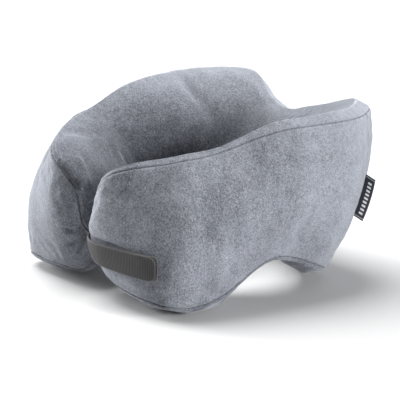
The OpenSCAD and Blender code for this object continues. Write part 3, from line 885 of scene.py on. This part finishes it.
BACK_U = U[(U >= CORNER - NEAR) & (U <= LEFT_CORNER + NEAR)]
ZIP_LAST_U = LAST - ZIP_FIRST_U
SLOT_END = 0.09  # how far past the zip's ends the slot closes, in rings
TOPSTITCH_OFF = 0.0052  # from the slot's folded edge to the thread
BACK_FROM = 0.35  # about where the back panels start


def slot_half(u):
    """Half height of the slot, closing past the zip's ends."""
    full = np.clip((0.5 * (ZIP_LAST_U - ZIP_FIRST_U) + SLOT_END - np.abs(u - NAPE)) / SLOT_END, 0, 1)
    return SLOT_HALF * np.sqrt(1 - (1 - full)**2)


def height_t(u, z):
    """Where height z, in millimetres, lies on the outer wall."""
    r = ring(u)
    return (z - r[..., 8]) / (r[..., 5] - r[..., 8])


def back_line(q):
    """The line up the back at the nape's middle, from below the zip to the top seam."""
    return skin(NAPE + 0 * q, BACK_FROM + (1 - BACK_FROM) * q)


def back_panel(name, side, node):
    """The back above the zip, with side 1, or below it, with side -1, its edge at the slot folded in."""
    uu, q = np.meshgrid(BACK_U, graded(back_line, 0, 1, WIDE, FINE, 0.004), indexing="ij")
    edge = height_t(uu, ZIP_Z + side * slot_half(uu))
    tt = edge + ((1.0 if side > 0 else 0.0) - edge) * q
    off = np.abs(tt - edge) * metric(uu, np.clip(tt, 0.01, 0.98), 1)
    rolled = -0.0010 * bell(off, 0.0008) + 0.0006 * bell(off - 0.0022, 0.0014)
    topstitch = -0.0005 * bell(off - TOPSTITCH_OFF, 0.0006)
    points = cover(uu, tt) + skin_normals(uu, tt) * (rolled + topstitch)[..., None]
    run = np.interp(uu, U_RUN[0], U_RUN[1])
    thread = bell(off - TOPSTITCH_OFF, 0.0005) * (np.sin(2 * math.pi * run / STITCH) > -0.3) * 0.75
    obj = mesh_object(name, points, quads(*uu.shape))
    # dark seam lines and topstitch thread, with painted shade in the deepest creases
    store(obj, "seam", points, np.maximum(seam_line_and_crease_shade(uu, tt), thread))
    thicken(obj, COVER_T * 0.6)
    face_out(obj, uu, tt)
    dress(obj, VELOUR)
    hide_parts(node)
    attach(obj, "nape")


back_panel("velour_back_upper", 1, "cover_back_upper")
back_panel("velour_back_lower", -1, "cover_back_lower")

for node, material in (("zip_tape_upper", TAPE), ("zip_tape_lower", TAPE), ("zip_stops", METAL),
                       ("zip_slider", METAL), ("zip_pull", METAL)):
    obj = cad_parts[node]
    obj.data.materials.clear()
    obj.data.materials.append(material)
for node in ("zip_slider", "zip_pull", "zip_stops"):
    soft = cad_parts[node].modifiers.new("edges", "BEVEL")
    soft.width, soft.segments, soft.angle_limit = 0.00018, 2, math.radians(35)

COIL_PITCH = 0.0012
COIL_IN_U = ZIP_FIRST_U + 0.13
COIL_TABLE = 400
ROD_R, ROD_SIDES = 0.00036, 6
# The line of one turn, as (height off the zip's middle, depth), in millimetres
COIL_TURN = [(-0.7, 0.9), (0.3, 0.75), (1.3, 0.7), (2.3, 0.75), (2.6, 1.1)]


def zip_coil(name, side, node):
    """One side of the coil: a row of turns, each a small bent rod that hooks past the zip's middle."""
    run_table = np.linspace(COIL_IN_U, LAST - COIL_IN_U, COIL_TABLE)
    run = lengths(skin(run_table, height_t(run_table, ZIP_Z)))
    count = int(run[-1] / COIL_PITCH)
    places = np.interp((np.arange(count) + (0.25 if side > 0 else 0.75)) * COIL_PITCH, run, run_table)
    points, faces = [], []
    for u in places:
        base = len(points)
        here = np.array([u])
        for z, depth in COIL_TURN:
            p = skin(here, height_t(here, ZIP_Z + side * z), depth)[0]
            ahead = skin(here + 0.01, height_t(here + 0.01, ZIP_Z + side * z), depth)[0] - p
            ahead /= np.linalg.norm(ahead)
            out = skin_normals(here, height_t(here, ZIP_Z))[0]
            for k in range(ROD_SIDES):
                a = 2 * math.pi * k / ROD_SIDES
                points.append(p + ahead * ROD_R * math.cos(a) + out * ROD_R * math.sin(a))
        faces += quads(len(COIL_TURN), ROD_SIDES, closed_m=True, start=base)
        faces.append(tuple(base + k for k in range(ROD_SIDES)))
        faces.append(tuple(len(points) - 1 - k for k in range(ROD_SIDES)))
    obj = mesh_object(name, points, faces)
    fix_normals(obj)
    dress(obj, NYLON)
    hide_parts(node)
    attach(obj, "nape")


zip_coil("coil_upper", 1, "zip_coil_upper")
zip_coil("coil_lower", -1, "zip_coil_lower")

# ------------------------ strap

WEB_TIP = STRAP_TIP - 0.02  # the webbing stops short of the loop patch
STRAP_ROOT_U = 0.1 * END_ROUND / FIRST_LEN
SEWN_GAP, PILE_GAP = 0.06, 0.3  # gaps behind a patch and between the hooks and the loops, in millimetres
PATCH_D = -GRIP_T - SEWN_GAP
WEB_D = PATCH_D - PILE_GAP - GRIP_T - SEWN_GAP
RIB_PITCH = 0.0017
TAB_X, TAB_BACK = -0.0008, -0.0995  # where the tab ends, between the arms' ends
TAB_U = 0.35  # how far in u the tab runs back from the root
PULL_IN, PULL_REACH = 0.0019, 0.05  # how deep it's pulled in at its root, and how far along


def beside(u, z, d):
    """Points beside the outer wall at depth d and height z, both in millimetres, rounded in plan only."""
    r = ring(u)
    way, wall = inward(r)
    low, high = r[..., 8] + d, r[..., 5] - d
    s = outer_wall(r, np.maximum(0, (z - low) / (high - low)), d)
    mid_in = END_IN * wall
    w = mid_in + (s[..., 0] - mid_in) * np.sqrt(1 - (1 - end_fraction(u, d))**END_PLAN)
    return np.stack([r[..., 0] + way[..., 0] / wall * w, r[..., 1] + way[..., 1] / wall * w,
                     z + 0 * w], -1) * MM


def strap_half(u):
    """Half width of the strap, which ends in rounded corners."""
    x, r = (WEB_TIP - u) * FIRST_LEN, 0.3 * STRAP_W
    return np.where(x >= r, STRAP_W / 2, STRAP_W / 2 - r + np.sqrt(np.maximum(0, r * r - (r - x)**2)))


def strap_face(u, v, d):
    """The strap's surface at depth d: a tab between the arms' ends, then round the right arm's end.
    u below the root runs back along the tab, v goes from -1 to 1 across."""
    on_wall = beside(np.maximum(u, STRAP_ROOT_U), STRAP_Z + v * strap_half(u), d)
    back = np.clip((STRAP_ROOT_U - u) / TAB_U, 0, 1)
    root = beside(np.full_like(u, STRAP_ROOT_U), STRAP_Z + v * STRAP_W / 2, d)
    tab = np.stack([TAB_X + 0 * u, TAB_BACK + 0 * u, STRAP_Z * MM + v * STRAP_W / 2 * MM], -1)
    bow = np.stack([TAB_X + 0 * u, root[..., 1] + 0.004, root[..., 2]], -1)
    f = back[..., None]
    curve = (1 - f)**2 * root + 2 * f * (1 - f) * bow + f**2 * tab
    return np.where((u < STRAP_ROOT_U)[..., None], curve, on_wall)


def web_line(u):
    """The line along the middle of the strap's inner face."""
    return strap_face(u, 0 * u, WEB_D)


def strap():
    """The webbing with its ribs, selvedges and sewn root."""
    u = even(web_line, STRAP_ROOT_U - TAB_U, WEB_TIP - 0.0005, RIB_PITCH / 6)
    v = np.sin(np.linspace(-math.pi / 2, math.pi / 2, 25))
    uu, vv = np.meshgrid(u, v, indexing="ij")
    run = lengths(web_line(u))
    rib = (0.5 + 0.5 * np.sin(2 * math.pi * run / RIB_PITCH))[:, None] * np.ones_like(vv)
    outer = strap_face(uu, vv, WEB_D - STRAP_T)
    inner = strap_face(uu, vv, WEB_D)
    way = outer - inner
    way /= np.maximum(np.linalg.norm(way, axis=-1, keepdims=True), 1e-9)
    selvedge = bell(np.abs(vv) - 1, 0.07)
    rise = 0.00028 * rib * (1 - selvedge) - 0.00022 * selvedge
    sink = (PULL_IN * np.clip(1 - run / PULL_REACH, 0, 1)**0.7)[:, None]
    outer = outer + way * (rise - sink)[..., None]
    inner = inner + way * (0.0001 * rib - sink)[..., None]
    obj = shell("webbing_strap", outer, inner)
    store(obj, "rib", np.stack([outer, inner]), np.stack([rib, rib]))
    dress(obj, WEBBING)
    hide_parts("strap_webbing", "strap_anchor")
    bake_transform(obj)


strap()


GRIP_GAP = 0.0008  # gap between the rows of a patch


def grip(name, first_u, last_u, half, d_out, d_in, material, node, body, round_r):
    """A soft patch of hook or loop tape with rounded corners and a crowned, uneven face, which lies
    between depths d_in and d_out and is twice half wide."""
    def line(u):
        return beside(u, STRAP_Z + 0 * u, d_out)

    u = even(line, first_u, last_u, GRIP_GAP)
    run = lengths(line(u)) / MM
    reach = np.minimum(run, run[-1] - run)
    trim = round_r - np.sqrt(np.maximum(0, round_r**2 - np.maximum(0, round_r - reach)**2))
    v = np.linspace(-1, 1, 33)
    uu, vv = np.meshgrid(u, v, indexing="ij")
    z = STRAP_Z + vv * (half - trim)[:, None]
    outer, inner = beside(uu, z, d_out), beside(uu, z, d_in)
    way = outer - inner
    way /= np.linalg.norm(way, axis=-1, keepdims=True)
    rise = 0.00008 * waves(outer, 0.0016, 3) - 0.0003 * bell(np.abs(vv) - 1, 0.06)
    outer = outer + way * rise[..., None]
    obj = shell(name, outer, inner)
    dress(obj, material)
    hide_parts(node)
    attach(obj, body)


grip("loop_patch", 0.98, STRAP_TIP + 0.01, STRAP_W / 2 + 0.2, PATCH_D, 0.4, LOOPS,
     "strap_loop_patch", "arm_right", 4)
grip("hook_pad", 1.05, WEB_TIP - 0.05, STRAP_W / 2 - 1, PATCH_D - PILE_GAP - GRIP_T, PATCH_D - PILE_GAP,
     HOOKS, "strap_hook_pad", "strap", 2.5)

# ------------------------ label in the right corner's seam

LABEL_U, LABEL_LOW, LABEL_L, LABEL_OUT, LABEL_T, LABEL_DROOP = CORNER + 0.03, 57, 38, 9, 0.9, 5
LABEL_START = 0.25  # how far out of the cover the layers start, in millimetres
LABEL_ROWS, LAYER_STEPS, FOLD_STEPS = 40, 12, 8


def label():
    """A folded woven label: two layers that meet in a round fold at the free edge, slightly waved."""
    here = np.array([LABEL_U])
    way, wall = inward(ring(here))
    w = way[0] / wall[0]
    half = LABEL_T / 2
    layer = [(LABEL_START + (LABEL_OUT - half - LABEL_START) * k / LAYER_STEPS, half)
             for k in range(LAYER_STEPS + 1)]
    turns = [math.pi * k / FOLD_STEPS for k in range(1, FOLD_STEPS)]
    edge = [(LABEL_OUT - half + half * math.sin(a), half * math.cos(a)) for a in turns]
    profile = layer + edge + [(x, -y) for x, y in reversed(layer)]
    points, places = [], []
    for i in range(LABEL_ROWS + 1):
        f = i / LABEL_ROWS
        p = skin(here, height_t(here, LABEL_LOW + LABEL_L * f))[0] / MM
        for out, across in profile:
            curl = 0.9 * math.sin(3.4 * f + 0.4) * (out / LABEL_OUT)**2
            side = across * (0.55 + 0.45 * min(1, out / 4)) + curl  # thinner where it's sewn in
            points.append((p[0] - w[0] * out + w[1] * side, p[1] - w[1] * out - w[0] * side,
                           p[2] - LABEL_DROOP * out / LABEL_OUT))
            places.append((f * LABEL_L * MM, out * MM))
    m = len(profile)
    faces = quads(LABEL_ROWS + 1, m, closed_m=True)
    faces += [tuple(range(m)), tuple(LABEL_ROWS * m + j for j in reversed(range(m)))]
    obj = mesh_object("woven_label", np.array(points) * MM, faces)
    fix_normals(obj)
    uv = obj.data.uv_layers.new(name="woven")
    for loop in obj.data.loops:
        uv.data[loop.index].uv = places[loop.vertex_index]
    dress(obj, LABEL)
    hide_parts("brand_label")
    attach(obj, "nape")


label()

# ------------------------ floor, light and camera

plane = mesh_object("floor", [(-6, -6, 0), (6, -6, 0), (6, 6, 0), (-6, 6, 0)], [(0, 1, 2, 3)])
plane.data.materials.append(floor_finish())
plane.location.z = -0.0004

TARGET = Vector((0, -0.003, 0.065))
AZIMUTH, ELEVATION, ROLL = math.radians(51.8), math.radians(14.7), math.radians(0.9)
DISTANCE, LENS = 1.531, 155.5
LAMP_FAR = 2.0  # from the target to each lamp
SKY, SKY_SEEN = 0.145, 1.0  # the light from all round, and how bright it looks past the floor's edge
ASIDE, ABOVE = 0.0054, 0.0002  # how far right of the target and above it the camera looks


def studio():
    """The camera, the three lamps and the pale surroundings."""
    back = Vector((math.sin(AZIMUTH) * math.cos(ELEVATION), -math.cos(AZIMUTH) * math.cos(ELEVATION),
                   math.sin(ELEVATION)))
    right = Vector((math.cos(AZIMUTH), math.sin(AZIMUTH), 0))
    camera = bpy.data.objects.new("camera", bpy.data.cameras.new("camera"))
    bpy.context.scene.collection.objects.link(camera)
    camera.data.lens, camera.data.sensor_width = LENS, 36
    camera.location = TARGET + right * ASIDE + Vector((0, 0, ABOVE)) + back * DISTANCE
    turned = (-back).to_track_quat("-Z", "Y").to_matrix().to_4x4() @ Matrix.Rotation(ROLL, 4, "Z")
    camera.rotation_euler = turned.to_euler()
    bpy.context.scene.camera = camera

    def lamp(name, kind, azimuth, elevation, power):
        a, e = math.radians(azimuth), math.radians(elevation)
        way = Vector((math.sin(a) * math.cos(e), -math.cos(a) * math.cos(e), math.sin(e)))
        made = bpy.data.objects.new(name, bpy.data.lights.new(name, kind))
        bpy.context.scene.collection.objects.link(made)
        made.data.energy = power
        made.location = TARGET + way * LAMP_FAR
        made.rotation_euler = (-way).to_track_quat("-Z", "Y").to_euler()
        return made
    lamp("key", "SUN", 119, 12, 4.9).data.angle = math.radians(20)
    lamp("top", "SUN", -75, 68, 4.0).data.angle = math.radians(44)
    lamp("fill", "AREA", -68, 14, 56).data.size = 1.0
    world = bpy.data.worlds.new("studio")
    bpy.context.scene.world = world
    world.use_nodes = True
    nodes, links = world.node_tree.nodes, world.node_tree.links
    background = nodes["Background"]
    background.inputs["Color"].default_value = (1, 1, 1, 1)
    seen = nodes.new("ShaderNodeLightPath").outputs["Is Camera Ray"]
    strength = nodes.new("ShaderNodeMapRange")
    links.new(seen, strength.inputs["Value"])
    strength.inputs["To Min"].default_value, strength.inputs["To Max"].default_value = SKY, SKY_SEEN
    links.new(strength.outputs["Result"], background.inputs["Strength"])
    bpy.context.scene.view_settings.view_transform = "Standard"


studio()
